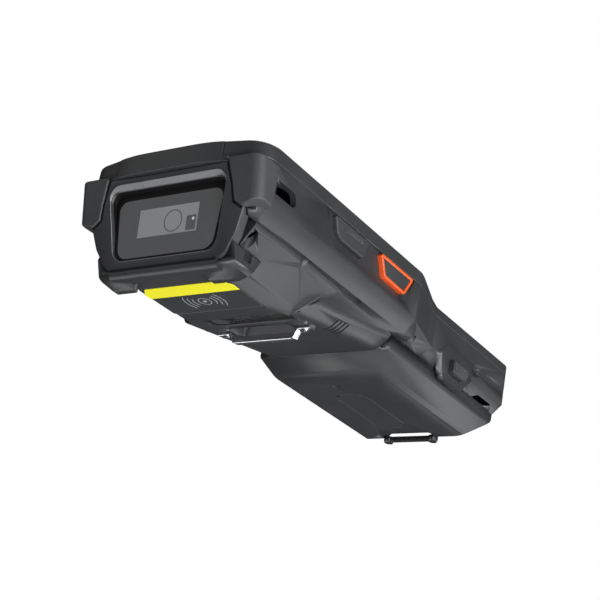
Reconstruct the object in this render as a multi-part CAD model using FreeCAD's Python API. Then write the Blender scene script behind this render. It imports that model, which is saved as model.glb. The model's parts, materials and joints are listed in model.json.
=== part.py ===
import FreeCAD, Part
import math
import os

# Portable barcode data terminal, in millimetres.
# X is across the terminal, +Y points to the scan end, +Z to the display side.
# The origin is under the middle of the terminal, at the level of its feet.

# Driving dimensions
BODY_LENGTH = 202.0
HEAD_WIDTH = 80.0
HANDLE_WIDTH = 67.0
TOP_Z = 45.8
HANDLE_TOP_Z = 42.4
PARTING_Z = 40.0
HANDLE_PARTING_Z = 38.4
WALL_Z = 25.0
FLANGE_Z = 19.5
PACK_BACK_Z = 4.5
ANTENNA_Z = 2.8
WALL = 2.4
HEAD_WALL = 9.0
GAP = 0.3
KEY_TRAVEL = 0.6
SIDE_KEY_TRAVEL = 0.9
RELEASE_TRAVEL = 2.2

# Places along the terminal, worked out from its ends
FRONT_Y = BODY_LENGTH / 2
END_Y = -BODY_LENGTH / 2
TRIM_PROUD = 0.2
HEAD_HALF = HEAD_WIDTH / 2
HANDLE_HALF = HANDLE_WIDTH / 2
WAIST_HEAD_Y = FRONT_Y - 110.5
WAIST_HANDLE_Y = FRONT_Y - 135
SLOPE_END_Y = FRONT_Y - 128
CHAMFER_IN = 4.0
CAVITY_Z = FLANGE_Z + WALL

# Pod: the deep part of the head that holds the scan engine
POD_FRONT_Y = 93.4
POD_TOP_HALF = 33.5
POD_MID_HALF = 24.5
POD_MID_Z = 6.8
POD_BACK_HALF = 21.2
CHIN_Y = 86.7
CHIN_Z = 2.0

# Scoop: the sloping finger rest between the pod and the pack
SCOOP_START_Y = 57.5
SCOOP_END_Y = -8.2
SCOOP_END_Z = 13.5
SCOOP_HALF = 31.0
SCOOP_RISE = (SCOOP_END_Z - ANTENNA_Z) / (SCOOP_START_Y - SCOOP_END_Y)

# Battery pack
PACK_FRONT_Y = SCOOP_END_Y - GAP
PACK_END_Y = END_Y + 7.5
PACK_HALF = 31.0
PACK_FLAT_HALF = 21.4
PACK_SEAM_Z = 13.5
PACK_TOP_Z = FLANGE_Z - 0.7
PACK_WALL = 1.8

# Scan window and its bezel
BEZEL_TOP_HALF = 33.0
BEZEL_TOP_Z = 37.4
BEZEL_LOW_Z = 5.2
BEZEL_FACE_Y = FRONT_Y - 1.6
BEZEL_BACK_Y = 86.6
BEZEL_LEAN = 13.5
GLASS_LEAN = 6.6
GLASS_FACE_Y = 93.0
GLASS_MID_Z = 16.0
GLASS_PANE = 1.4
WINDOW_TOP_HALF = 21.8
WINDOW_LOW_HALF = 19.2
WINDOW_LOW_Z = 8.2
WINDOW_HIGH_Z = 32.4
WINDOW_FLARE = 2.8

# Centre panel of the front band
PANEL_HALF = 23.5

# Side keys sit in a shallow pocket of the head's side wall
POCKET_DEPTH = 1.2
SIDE_KEY_PROUD = 0.5
SIDE_KEY_BACK_X = HEAD_HALF - 4.0
SIDE_KEY_ROOM_X = SIDE_KEY_BACK_X - SIDE_KEY_TRAVEL - 0.1

# Keypad
KEY_COLUMNS = 3
KEY_ROWS = 5
KEY_PITCH_X = 17.0
KEY_PITCH_Y = 13.2
KEY_SIZE_X = 14.0
KEY_SIZE_Y = 9.4
KEYPAD_TOP_Y = -34.0
KEY_PROUD = 1.2
KEY_FLANGE = 0.9
KEY_DEPTH = 3.4
DOME_TOP = KEY_DEPTH + KEY_TRAVEL + 0.4

# Display
DISPLAY_HALF = 32.0
DISPLAY_LOW_Y = -8.0
DISPLAY_HIGH_Y = 88.0
GLASS_THICK = 1.6
RIM_BEVEL = 0.7

# Port flap in the bottom end
FLAP_HALF = 8.5
FLAP_LOW_Z = 25.5
FLAP_HIGH_Z = 34.5
FLAP_THICK = 1.6
FLAP_PIN_R = 0.9

LEFT = -1
RIGHT = 1
SIDES = {"left": LEFT, "right": RIGHT}


def point(plane, u, v, w):
    """A point from its two coordinates in a plane and its distance off that plane."""
    places = {"xy": (u, v, w), "xz": (u, w, v), "yz": (w, u, v)}
    return FreeCAD.Vector(*places[plane])


def rounded_wire(corners, plane, w):
    """A closed outline through corners (u, v, radius), each corner replaced by an arc of its radius."""
    spots = [FreeCAD.Vector(u, v, 0) for u, v, _ in corners]
    edges = []
    ends = []
    count = len(corners)
    for i, (_, _, radius) in enumerate(corners):
        here = spots[i]
        back = (spots[i - 1] - here).normalize()
        ahead = (spots[(i + 1) % count] - here).normalize()
        if radius <= 0:
            ends.append((here, None, here))
            continue
        half = back.getAngle(ahead) / 2
        reach = radius / math.tan(half)
        middle = (back + ahead).normalize()
        centre = here + middle * (radius / math.sin(half))
        ends.append((here + back * reach, centre - middle * radius, here + ahead * reach))
    lifted = [[point(plane, p.x, p.y, w) if p else None for p in trio] for trio in ends]
    for i, (start, mid, stop) in enumerate(lifted):
        if mid:
            edges.append(Part.Arc(start, mid, stop).toShape())
        following = lifted[(i + 1) % count][0]
        if (following - stop).Length > 1e-6:
            edges.append(Part.LineSegment(stop, following).toShape())
    return Part.Wire(edges)


def slab(corners, plane, w0, w1):
    """A solid between two parallel planes with a rounded outline."""
    face = Part.Face(rounded_wire(corners, plane, w0))
    return face.extrude(point(plane, 0, 0, w1 - w0))


def box(x0, x1, y0, y1, z0, z1):
    return Part.makeBox(x1 - x0, y1 - y0, z1 - z0, FreeCAD.Vector(x0, y0, z0))


def rounded_box(x0, x1, y0, y1, z0, z1, radius):
    """A block whose upright edges are rounded."""
    corners = [(x0, y0, radius), (x1, y0, radius), (x1, y1, radius), (x0, y1, radius)]
    return slab(corners, "xy", z0, z1)


def cylinder(radius, length, base, axis):
    return Part.makeCylinder(radius, length, FreeCAD.Vector(*base), FreeCAD.Vector(*axis))


def mirrored(shape):
    return shape.mirror(FreeCAD.Vector(0, 0, 0), FreeCAD.Vector(1, 0, 0))


def on_side(shape, side):
    """A shape drawn on the right side, or its mirror image on the left."""
    return shape if side == RIGHT else mirrored(shape)


def join(shapes):
    whole = shapes[0].fuse(shapes[1:]) if len(shapes) > 1 else shapes[0]
    return whole.removeSplitter()


def scoop_z(y):
    """Height of the scoop's sloping face."""
    return ANTENNA_Z + (SCOOP_START_Y - y) * SCOOP_RISE


def plan_corners(inset, front_cut=0.0):
    """The outline of the walls seen from above, moved inwards by inset."""
    head = HEAD_HALF - inset
    handle = HANDLE_HALF - inset
    front = FRONT_Y - inset - front_cut
    end = END_Y + inset
    head_radius = max(10.0 - inset, 3.0)
    end_radius = max(6.0 - inset, 1.5)
    waist_head = WAIST_HEAD_Y + inset * 0.4
    waist_handle = WAIST_HANDLE_Y + inset * 0.4
    right = [
        (17.0, front, 60.0),
        (head, front - 4.5, head_radius),
        (head, waist_head, 7.0),
        (handle, waist_handle, 12.0),
        (handle, end, end_radius),
    ]
    left = [(-x, y, radius) for x, y, radius in reversed(right)]
    return right + left


def side_profile(head_z, handle_z, floor_z):
    """A block over the whole plan whose top steps down from the head to the handle along a slope."""
    profile = [(FRONT_Y + 5.0, floor_z, 0), (FRONT_Y + 5.0, head_z, 0), (WAIST_HEAD_Y, head_z, 6.0),
               (SLOPE_END_Y, handle_z, 6.0), (END_Y - 5.0, handle_z, 0), (END_Y - 5.0, floor_z, 0)]
    return slab(profile, "yz", -HEAD_HALF - 5.0, HEAD_HALF + 5.0)


def wall_block():
    """The walls as one block, with the long chamfer under them."""
    upper = slab(plan_corners(0.0), "xy", WALL_Z, PARTING_Z)
    upper = upper.common(side_profile(PARTING_Z, HANDLE_PARTING_Z, 0.0))
    edge = rounded_wire(plan_corners(0.0), "xy", WALL_Z)
    foot = rounded_wire(plan_corners(CHAMFER_IN), "xy", FLANGE_Z)
    chamfer = Part.makeLoft([foot, edge], True, True)
    return upper.fuse(chamfer)


def pod_corners(inset, top_z):
    low = ANTENNA_Z + inset
    right = [
        (POD_TOP_HALF - inset * 1.3, top_z, 0),
        (POD_TOP_HALF - inset * 1.3, FLANGE_Z - 0.5, 3.0),
        (POD_MID_HALF - inset * 0.9, POD_MID_Z + inset * 0.2, 5.0),
        (POD_BACK_HALF - 2.0 - inset * 0.5, low, 2.0),
    ]
    left = [(-x, z, radius) for x, z, radius in reversed(right)]
    return right + left


def pod_block(inset, front_y):
    """The pod, cut off behind by the scoop's sloping face."""
    back_y = 34.0
    pod = slab(pod_corners(inset, CAVITY_Z + inset), "xz", back_y + inset, front_y)
    below = [(SCOOP_START_Y, ANTENNA_Z + inset, 0), (back_y - 4.0, scoop_z(back_y - 4.0) + inset, 0),
             (back_y - 4.0, -9.0, 0), (SCOOP_START_Y, -9.0, 0)]
    return pod.cut(slab(below, "yz", -HEAD_HALF, HEAD_HALF))


def scoop_block(inset):
    """The finger scoop: a rounded section carried along its slope."""
    start_y = 46.0
    low = scoop_z(start_y) + inset
    half = SCOOP_HALF - inset
    section = [
        (half, FLANGE_Z + 2.0, 0),
        (half, low + 5.0, 4.0),
        (half - 6.0, low, 6.0),
        (-half + 6.0, low, 6.0),
        (-half, low + 5.0, 4.0),
        (-half, FLANGE_Z + 2.0, 0),
    ]
    stop_y = SCOOP_END_Y + inset
    run = FreeCAD.Vector(0, stop_y - start_y, (start_y - stop_y) * SCOOP_RISE)
    bar = Part.Face(rounded_wire(section, "xz", start_y)).extrude(run)
    lead = start_y - 1.0 - inset
    nose = [(lead, 0.0, 0), (lead, 6.0, 0), (lead - 11.0, CAVITY_Z, 0), (lead - 11.0, 40.0, 0),
            (60.0, 40.0, 0), (60.0, 0.0, 0)]
    return bar.cut(slab(nose, "yz", -HEAD_HALF, HEAD_HALF))


def foot_lump(side):
    """A corner lump that carries the head and guards the antenna cover."""
    section = [(14.6, 3.6, 0), (17.4, 0.0, 2.0), (26.0, 0.0, 2.5), (30.6, 3.4, 2.5), (30.6, 10.0, 1.5),
               (27.5, 12.6, 0), (21.0, 12.0, 0)]
    side_view = [(75.0, 12.6, 0), (82.0, 0.0, 3.0), (85.0, 0.0, 2.0), (89.6, 4.0, 3.0),
                 (POD_FRONT_Y, 12.6, 0)]
    lump = slab(section, "xz", 70.0, FRONT_Y).common(slab(side_view, "yz", 0.0, HEAD_HALF))
    return on_side(lump, side)


def chin():
    """The rounded bar under the scan window that joins the two lumps."""
    front = 92.4
    profile = [(CHIN_Y - 0.7, 8.0, 0), (CHIN_Y - 0.7, ANTENNA_Z, 0), (CHIN_Y, CHIN_Z, 0.5),
               (front - 1.0, CHIN_Z, 2.0), (front, 8.0, 0)]
    return slab(profile, "yz", -24.0, 24.0)


def front_wedge(gap):
    """The room in front of the leaning face that the scan window is let into."""
    lean = math.tan(math.radians(BEZEL_LEAN))
    low_y = BEZEL_FACE_Y - gap - lean * (BEZEL_TOP_Z + 2.0)
    wedge = [(BEZEL_FACE_Y - gap, BEZEL_TOP_Z, 0), (FRONT_Y + 9.0, BEZEL_TOP_Z, 0), (FRONT_Y + 9.0, -2.0, 0),
             (low_y, -2.0, 0)]
    return slab(wedge, "yz", -HEAD_HALF - 2.0, HEAD_HALF + 2.0)


def release_frame(side, x0, x1):
    """The raised frame round a battery release button."""
    outline = [(-41.3, 26.6, 2.0), (-45.0, 30.8, 2.0), (-63.3, 30.8, 2.5), (-67.0, 26.5, 3.0),
               (-66.5, 22.5, 3.0), (-58.7, 15.6, 3.0), (-43.2, 15.6, 2.0)]
    return on_side(slab(outline, "yz", x0, x1), side)


SCREW_PLACES = [(30.4, 83.8), (33.8, 56.7), (33.6, 22.7), (33.8, -17.3)]
SCREW_RECESS_R = 2.1
SCREW_HEAD_R = 1.9
SCREW_HEAD_TOP_Z = FLANGE_Z + 5.0


def screw_towers():
    """Columns inside the flange that the deep screw recesses run up into."""
    towers = []
    height = PARTING_Z - FLANGE_Z - 1.5
    for x, y in SCREW_PLACES:
        for side in SIDES.values():
            towers.append(cylinder(3.2, height, (side * x, y, FLANGE_Z + 0.4), (0, 0, 1)))
    return towers


def screw_bores():
    bores = []
    for x, y in SCREW_PLACES:
        for side in SIDES.values():
            bores.append(cylinder(SCREW_RECESS_R, 18.0, (side * x, y, SCREW_HEAD_TOP_Z - 18.0), (0, 0, 1)))
            bores.append(cylinder(1.0, 13.0, (side * x, y, SCREW_HEAD_TOP_Z), (0, 0, 1)))
    return bores


def housing_screws():
    screws = []
    for x, y in SCREW_PLACES:
        for side in SIDES.values():
            head = cylinder(SCREW_HEAD_R, 1.4, (side * x, y, SCREW_HEAD_TOP_Z - 1.4), (0, 0, 1))
            socket = cylinder(0.9, 0.8, (side * x, y, SCREW_HEAD_TOP_Z - 1.4), (0, 0, 1))
            shank = cylinder(0.95, 12.0, (side * x, y, SCREW_HEAD_TOP_Z), (0, 0, 1))
            screws.append(head.fuse(shank).cut(socket))
    return Part.makeCompound(screws)


POCKET_OUTLINE = [(59.0, 41.0, 0), (54.2, 29.8, 3.0), (49.0, 27.6, 4.0), (-1.5, 28.2, 2.5), (-5.5, 41.0, 0)]
FUNCTION_KEY_OUTLINE = [(52.8, 39.3, 0.8), (49.9, 33.2, 2.0), (46.6, 31.8, 2.0), (32.1, 31.8, 1.0),
                        (29.4, 39.3, 0.8)]
SCAN_KEY_OUTLINE = [(21.3, 39.3, 0.8), (17.0, 31.2, 2.2), (2.0, 30.9, 1.2), (-3.1, 39.3, 0.8)]


def grown(corners, amount):
    """An outline with every side moved outwards by amount."""
    wire = rounded_wire(corners, "yz", 0.0)
    return wire.makeOffset2D(amount)


def offset_slab(corners, amount, x0, x1):
    wire = grown(corners, amount) if amount else rounded_wire(corners, "yz", 0.0)
    face = Part.Face(wire)
    face.translate(FreeCAD.Vector(x0, 0, 0))
    return face.extrude(FreeCAD.Vector(x1 - x0, 0, 0))


def key_wells(side):
    """The side pocket and the holes that the two side keys pass through."""
    floor_x = HEAD_HALF - POCKET_DEPTH
    cuts = [offset_slab(POCKET_OUTLINE, 0, floor_x, HEAD_HALF + 4.0)]
    for outline in (FUNCTION_KEY_OUTLINE, SCAN_KEY_OUTLINE):
        cuts.append(offset_slab(outline, GAP, SIDE_KEY_ROOM_X, HEAD_HALF + 1.0))
    return [on_side(cut, side) for cut in cuts]


def lanyard_slot(side):
    outline = [(74.6, 29.2, 2.0), (88.6, 29.2, 1.0), (88.6, 34.6, 1.0), (77.0, 34.6, 2.0)]
    return on_side(slab(outline, "yz", HEAD_HALF - 6.5, HEAD_HALF + 1.0), side)


def cradle_groove(side):
    """The straight groove that a charging cradle's rail runs in."""
    groove = [(END_Y - 1.0, 28.6, 0), (END_Y - 1.0, 32.2, 0), (-69.3, 32.2, 1.0), (-69.3, 28.6, 1.0)]
    pocket = [(-69.6, 28.4, 0.8), (-69.6, 32.6, 0.8), (-75.6, 32.6, 0.8), (-75.6, 28.4, 0.8)]
    shallow = slab(groove, "yz", HANDLE_HALF - 1.1, HANDLE_HALF + 1.0)
    deep = slab(pocket, "yz", HANDLE_HALF - 2.0, HANDLE_HALF + 1.0)
    return on_side(shallow.fuse(deep), side)


def tab_notch(side):
    """The notch in the handle's chamfer that shows the pack's end tab."""
    outline = [(-71.5, 18.0, 0), (-79.1, 22.2, 1.0), (-90.7, 22.2, 1.0), (-90.7, 18.0, 0)]
    return on_side(slab(outline, "yz", HANDLE_HALF - 5.6, HANDLE_HALF + 1.0), side)


RELEASE_OUTLINE = [(-48.0, 25.4, 1.5), (-48.0, 19.4, 1.5), (-57.6, 19.4, 1.5), (-60.6, 22.4, 1.5),
                   (-60.6, 24.2, 1.0), (-58.8, 25.4, 1.0)]


def lean_glass(shape):
    """Leans a shape drawn upright with its face at GLASS_FACE_Y."""
    shape.rotate(FreeCAD.Vector(0, GLASS_FACE_Y, GLASS_MID_Z), FreeCAD.Vector(1, 0, 0), -GLASS_LEAN)
    return shape


def lean_face(shape):
    """Leans a shape drawn upright with its face at BEZEL_FACE_Y."""
    shape.rotate(FreeCAD.Vector(0, BEZEL_FACE_Y, BEZEL_TOP_Z), FreeCAD.Vector(1, 0, 0), -BEZEL_LEAN)
    return shape


def bezel_corners(grow):
    right = [
        (BEZEL_TOP_HALF + grow, BEZEL_TOP_Z + grow, 1.0),
        (34.0 + grow, 21.0, 4.0),
        (31.4 + grow, 13.4, 6.0),
        (26.2 + grow, BEZEL_LOW_Z - grow, 6.0),
    ]
    left = [(-x, z, radius) for x, z, radius in reversed(right)]
    return right + left


def window_corners(grow, radius):
    top = WINDOW_TOP_HALF + grow
    low = WINDOW_LOW_HALF + grow
    return [
        (-top, WINDOW_HIGH_Z + grow, radius),
        (top, WINDOW_HIGH_Z + grow, radius),
        (low, WINDOW_LOW_Z - grow * 0.4, radius),
        (-low, WINDOW_LOW_Z - grow * 0.4, radius),
    ]


def window_funnel():
    """The opening in front of the pane, which widens towards the leaning face."""
    inner = Part.Face(rounded_wire(window_corners(-0.2, 2.6), "xz", GLASS_FACE_Y - 0.2))
    outer = Part.Face(rounded_wire(window_corners(WINDOW_FLARE, 4.0), "xz", BEZEL_FACE_Y + 0.4))
    return Part.makeLoft([lean_glass(inner).OuterWire, lean_face(outer).OuterWire], True, True)


def bumper(side):
    """A rubber block let into the front corner, a little proud of the walls."""
    outline = [(27.0, 38.6, 1.0), (29.4, 29.0, 2.0), (30.2, 23.6, 1.6), (33.6, 21.3, 1.6), (42.0, 24.0, 0),
               (42.0, 38.6, 0)]
    out_x = HEAD_HALF + 0.9
    upright = [(0, 60, 0), (out_x, 60, 0), (out_x, BEZEL_FACE_Y + 0.6, 4.0), (0, BEZEL_FACE_Y + 0.6, 0)]
    rounded = lean_face(slab(upright, "xy", -10.0, TOP_Z + 10.0))
    block = slab(outline, "xz", 88.6, FRONT_Y + 9.0)
    return on_side(block.common(rounded), side)


def antenna_panel(z0, z1):
    half = POD_BACK_HALF - 1.2
    corners = [(-14.4, CHIN_Y - 0.8, 1.0), (14.4, CHIN_Y - 0.8, 1.0), (half, 79.6, 2.0), (half, 58.2, 1.5),
               (-half, 58.2, 1.5), (-half, 79.6, 2.0)]
    return slab(corners, "xy", z0, z1)


STRAP_Y = 30.0
STRAP_HALF = 13.6
STRAP_EAR_X = 18.0


def tilt_to_scoop(shape, y):
    """Turns a flat shape about the X axis through the scoop's face, so that it lies along the slope."""
    slope = math.degrees(math.atan(SCOOP_RISE))
    shape.rotate(FreeCAD.Vector(0, y, scoop_z(y)), FreeCAD.Vector(1, 0, 0), -slope)
    return shape


def strap_pocket():
    z = scoop_z(STRAP_Y)
    pocket = rounded_box(-STRAP_HALF, STRAP_HALF, STRAP_Y - 6.0, STRAP_Y + 5.2, z - 3.0, z + 5.0, 1.5)
    return tilt_to_scoop(pocket, STRAP_Y)


def strap_pocket_wall():
    z = scoop_z(STRAP_Y)
    block = box(-STRAP_HALF - 1.6, STRAP_HALF + 1.6, STRAP_Y - 7.6, STRAP_Y + 6.8, z + 0.5, z + 6.6)
    return tilt_to_scoop(block, STRAP_Y)


def strap_bracket():
    """A bent metal strip: two ears on the scoop and a bar that stands off it."""
    z = scoop_z(STRAP_Y)
    right = [(21.4, z, 0), (21.4, z - 1.1, 0.5), (15.9, z - 1.1, 0.5), (13.9, z - 4.6, 1.0)]
    left = [(-x, v, radius) for x, v, radius in reversed(right)]
    inner_left = [(-14.8, z, 0), (-12.8, z - 3.2, 0.6)]
    inner_right = [(-x, v, radius) for x, v, radius in reversed(inner_left)]
    strip = slab(right + left + inner_left + inner_right, "xz", STRAP_Y - 2.2, STRAP_Y + 1.2)
    for side in SIDES.values():
        strip = strip.cut(cylinder(1.1, 6.0, (side * STRAP_EAR_X, STRAP_Y - 0.5, z - 3.0), (0, 0, 1)))
    return tilt_to_scoop(strip, STRAP_Y)


def strap_screws():
    z = scoop_z(STRAP_Y)
    screws = []
    for side in SIDES.values():
        head = cylinder(1.7, 0.7, (side * STRAP_EAR_X, STRAP_Y - 0.5, z - 1.8), (0, 0, 1))
        shank = cylinder(1.05, 5.6, (side * STRAP_EAR_X, STRAP_Y - 0.5, z - 1.2), (0, 0, 1))
        socket = cylinder(0.8, 0.5, (side * STRAP_EAR_X, STRAP_Y - 0.5, z - 1.8), (0, 0, 1))
        screws.append(tilt_to_scoop(head.fuse(shank).cut(socket), STRAP_Y))
    return Part.makeCompound(screws)


def strap_screw_bosses():
    z = scoop_z(STRAP_Y)
    parts = []
    for side in SIDES.values():
        boss = cylinder(2.6, 6.0, (side * STRAP_EAR_X, STRAP_Y - 0.5, z + 0.5), (0, 0, 1))
        parts.append(tilt_to_scoop(boss, STRAP_Y))
    return parts


def strap_screw_bores():
    z = scoop_z(STRAP_Y)
    parts = []
    for side in SIDES.values():
        bore = cylinder(1.1, 6.5, (side * STRAP_EAR_X, STRAP_Y - 0.5, z - 1.5), (0, 0, 1))
        parts.append(tilt_to_scoop(bore, STRAP_Y))
    return parts


PLATE_Y = 43.2
PLATE_HALF_Y = 4.4
PLATE_LEFT_X = -22.0
PLATE_RIGHT_X = 16.0
CAMERA_X = 10.6
CAMERA_R = 3.6


def camera_plate_corners(grow):
    radius = PLATE_HALF_Y + grow - 0.05
    x0 = PLATE_LEFT_X - grow
    x1 = PLATE_RIGHT_X + grow
    y0 = PLATE_Y - PLATE_HALF_Y - grow
    y1 = PLATE_Y + PLATE_HALF_Y + grow
    return [(x0, y0, radius), (x1, y0, radius), (x1, y1, radius), (x0, y1, radius)]


def camera_plate_room():
    z = scoop_z(PLATE_Y)
    return tilt_to_scoop(slab(camera_plate_corners(0.15), "xy", z - 6.0, z + 1.2), PLATE_Y)


def camera_plate():
    z = scoop_z(PLATE_Y)
    plate = slab(camera_plate_corners(0.0), "xy", z + 0.4, z + 1.2)
    hole = cylinder(CAMERA_R, 3.0, (CAMERA_X, PLATE_Y, z), (0, 0, 1))
    return tilt_to_scoop(plate.cut(hole), PLATE_Y)


def camera_lens():
    z = scoop_z(PLATE_Y)
    return tilt_to_scoop(cylinder(CAMERA_R - 0.05, 0.7, (CAMERA_X, PLATE_Y, z + 0.5), (0, 0, 1)), PLATE_Y)


def camera_bore():
    z = scoop_z(PLATE_Y)
    return tilt_to_scoop(cylinder(CAMERA_R - 0.6, 5.0, (CAMERA_X, PLATE_Y, z + 0.6), (0, 0, 1)), PLATE_Y)


def camera_module():
    z = scoop_z(PLATE_Y)
    barrel = cylinder(2.6, 3.4, (CAMERA_X, PLATE_Y, z + 1.3), (0, 0, 1))
    body = box(CAMERA_X - 4.2, CAMERA_X + 4.2, PLATE_Y - 4.2, PLATE_Y + 4.2, z + 4.4, z + 7.4)
    return tilt_to_scoop(barrel.fuse(body), PLATE_Y)


SPEAKER_X = 25.5
SPEAKER_Y = 21.0
SPEAKER_SLOTS = 4
SPEAKER_SLOT_PITCH = 2.3


def speaker_cuts():
    """Four slots side by side in the scoop, over the speaker."""
    cuts = []
    z = scoop_z(SPEAKER_Y)
    x0 = -SPEAKER_X - 3.6
    x1 = -SPEAKER_X + 3.6
    for i in range(SPEAKER_SLOTS):
        y = SPEAKER_Y + (i - (SPEAKER_SLOTS - 1) / 2) * SPEAKER_SLOT_PITCH
        cuts.append(rounded_box(x0, x1, y - 0.45, y + 0.45, z - 4.0, z + 7.0, 0.4))
    return cuts


def speaker():
    z = scoop_z(SPEAKER_Y)
    x0 = -SPEAKER_X + 2.0
    return rounded_box(x0, x0 + 8.0, SPEAKER_Y - 6.5, SPEAKER_Y + 0.8, z + 4.6, z + 7.6, 1.0)


def flap_room():
    """The recess in the bottom end for the port flap and its pin."""
    plate = box(-FLAP_HALF - GAP, FLAP_HALF + GAP, END_Y - 1.0, END_Y + FLAP_THICK + GAP, FLAP_LOW_Z - 1.6,
                FLAP_HIGH_Z + GAP)
    start = (-FLAP_HALF - GAP, END_Y + 1.0, FLAP_LOW_Z)
    pin = cylinder(FLAP_PIN_R + 0.25, 2 * FLAP_HALF + 2 * GAP, start, (1, 0, 0))
    return plate.fuse(pin)


def port_cover():
    """The flap: a plate with a pin along its lower edge and a plug rib behind."""
    corners = [(-FLAP_HALF, FLAP_LOW_Z, 0.4), (FLAP_HALF, FLAP_LOW_Z, 0.4), (FLAP_HALF, FLAP_HIGH_Z, 2.0),
               (-FLAP_HALF, FLAP_HIGH_Z, 2.0)]
    plate = slab(corners, "xz", END_Y, END_Y + FLAP_THICK)
    pin = cylinder(FLAP_PIN_R, 2 * FLAP_HALF, (-FLAP_HALF, END_Y + 1.0, FLAP_LOW_Z), (1, 0, 0))
    pull = box(-3.0, 3.0, END_Y - TRIM_PROUD, END_Y + 0.3, FLAP_HIGH_Z - 2.2, FLAP_HIGH_Z - 1.2)
    return join([plate, pin, pull])


SOCKET_Z = 30.5
SOCKET_HALF = 4.6
SOCKET_HALF_Z = 1.7


def socket_corners(grow):
    half = SOCKET_HALF + grow
    half_z = SOCKET_HALF_Z + grow
    radius = half_z - 0.1
    return [(-half, SOCKET_Z - half_z, radius), (half, SOCKET_Z - half_z, radius),
            (half, SOCKET_Z + half_z, radius), (-half, SOCKET_Z + half_z, radius)]


def usb_socket():
    """A metal sleeve with a tongue inside."""
    start = END_Y + FLAP_THICK + GAP + 0.2
    sleeve = slab(socket_corners(0.0), "xz", start, start + 7.5)
    mouth = slab(socket_corners(-0.35), "xz", start - 1.0, start + 6.8)
    tongue = box(-3.4, 3.4, start + 1.2, start + 6.9, SOCKET_Z - 0.35, SOCKET_Z + 0.35)
    return sleeve.cut(mouth).fuse(tongue)


def rear_housing():
    """The lower moulding."""
    walls = wall_block().cut(front_wedge(0.4))
    pod = pod_block(0.0, FRONT_Y).cut(front_wedge(0.4))
    frames = [release_frame(side, HANDLE_HALF - 2.0, HANDLE_HALF + 0.8) for side in SIDES.values()]
    shell = join([walls, pod, scoop_block(0.0), foot_lump(RIGHT), foot_lump(LEFT), chin()] + frames)
    main = slab(plan_corners(WALL, HEAD_WALL), "xy", CAVITY_Z, PARTING_Z + 1.0)
    cavity = main.fuse([pod_block(WALL, BEZEL_BACK_Y - WALL), scoop_block(WALL)])
    keep = screw_towers() + [strap_pocket_wall()] + strap_screw_bosses()
    cavity = cavity.cut(Part.makeCompound(keep))
    shell = shell.cut(cavity)
    cuts = [slab(bezel_corners(0.1), "xz", BEZEL_BACK_Y, FRONT_Y + 3.0),
            slab(window_corners(-1.0, 3.0), "xz", 80.0, FRONT_Y + 3.0), hinge_rooms(),
            antenna_panel(0.0, ANTENNA_Z + 0.9), top_panel_room(),
            strap_pocket(), camera_plate_room(), camera_bore(), flap_room(),
            slab(socket_corners(0.1), "xz", END_Y, END_Y + 12.0)]
    cuts += screw_bores() + strap_screw_bores() + speaker_cuts()
    for side in SIDES.values():
        cuts += key_wells(side)
        cuts += [lanyard_slot(side), cradle_groove(side), tab_notch(side), bumper(side), release_well(side)]
    return shell.cut(cuts).removeSplitter()


RELEASE_TONGUE_X = 29.4


def release_well(side):
    """The hole for a release button, open inwards to the pack, with room for its stroke."""
    well = offset_slab(RELEASE_OUTLINE, GAP, RELEASE_TONGUE_X - RELEASE_TRAVEL, HANDLE_HALF + 4.0)
    return on_side(well, side)


def release_button(side):
    """A button with a tongue that reaches into the pack's end notch."""
    body = offset_slab(RELEASE_OUTLINE, 0, 30.4, HANDLE_HALF + 3.2)
    tongue = box(RELEASE_TONGUE_X, 31.2, -58.0, -51.0, PACK_TOP_Z - 2.2, 22.5)
    button = join([body, tongue])
    return on_side(button, side)


def front_housing():
    """The upper moulding: a rim with a rounded edge, the display opening and a hole for each key."""
    shell = upper_block(HANDLE_PARTING_Z, 0.0)
    end_slope = [(END_Y + 5.0, HANDLE_TOP_Z + 1.0, 0), (END_Y + 4.0, HANDLE_TOP_Z, 2.0),
                 (END_Y, HANDLE_TOP_Z - 3.4, 1.0), (END_Y - 1.0, HANDLE_TOP_Z - 4.4, 0),
                 (END_Y - 2.0, HANDLE_TOP_Z + 1.0, 0)]
    shell = shell.cut(slab(end_slope, "yz", -HEAD_HALF, HEAD_HALF))
    shell = shell.cut(side_profile(PARTING_Z, HANDLE_PARTING_Z, 0.0))
    inner = slab(plan_corners(WALL, 2.0), "xy", HANDLE_PARTING_Z - 1.0, TOP_Z - 2.0)
    shell = shell.cut(inner.common(side_profile(TOP_Z - 2.0, HANDLE_TOP_Z - 2.0, 0.0)))
    cuts = [display_outline(GAP / 2, TOP_Z - GLASS_THICK, TOP_Z + 1.0),
            display_outline(-3.0, PARTING_Z, TOP_Z), top_panel_room()]
    for column, row in key_cells():
        x, y = key_centre(column, row)
        cuts.append(key_block(x, y, GAP, HANDLE_TOP_Z - 4.0, HANDLE_TOP_Z + 1.0))
    for side in SIDES.values():
        cuts.append(bumper(side))
    return shell.cut(cuts)


def upper_block(low_z, grow):
    """The outer form of the upper moulding: upright sides with a bevelled rim."""
    rim_z = TOP_Z - RIM_BEVEL
    sides = slab(plan_corners(-grow), "xy", low_z, rim_z)
    edge = Part.makeLoft([rounded_wire(plan_corners(-grow), "xy", rim_z),
                          rounded_wire(plan_corners(RIM_BEVEL - grow), "xy", TOP_Z)], True, True)
    return sides.fuse(edge).common(side_profile(TOP_Z, HANDLE_TOP_Z, 0.0))


def top_panel_room():
    half = PANEL_HALF + 0.1
    return box(-half, half, FRONT_Y - 4.5, FRONT_Y + 1.0, BEZEL_TOP_Z + 0.1, TOP_Z + 1.0)


def front_top_panel():
    """The centre panel of the front band."""
    panel = box(-PANEL_HALF, PANEL_HALF, FRONT_Y - 4.4, FRONT_Y + 1.0, BEZEL_TOP_Z + 0.2, TOP_Z)
    return panel.common(upper_block(BEZEL_TOP_Z, TRIM_PROUD))


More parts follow.
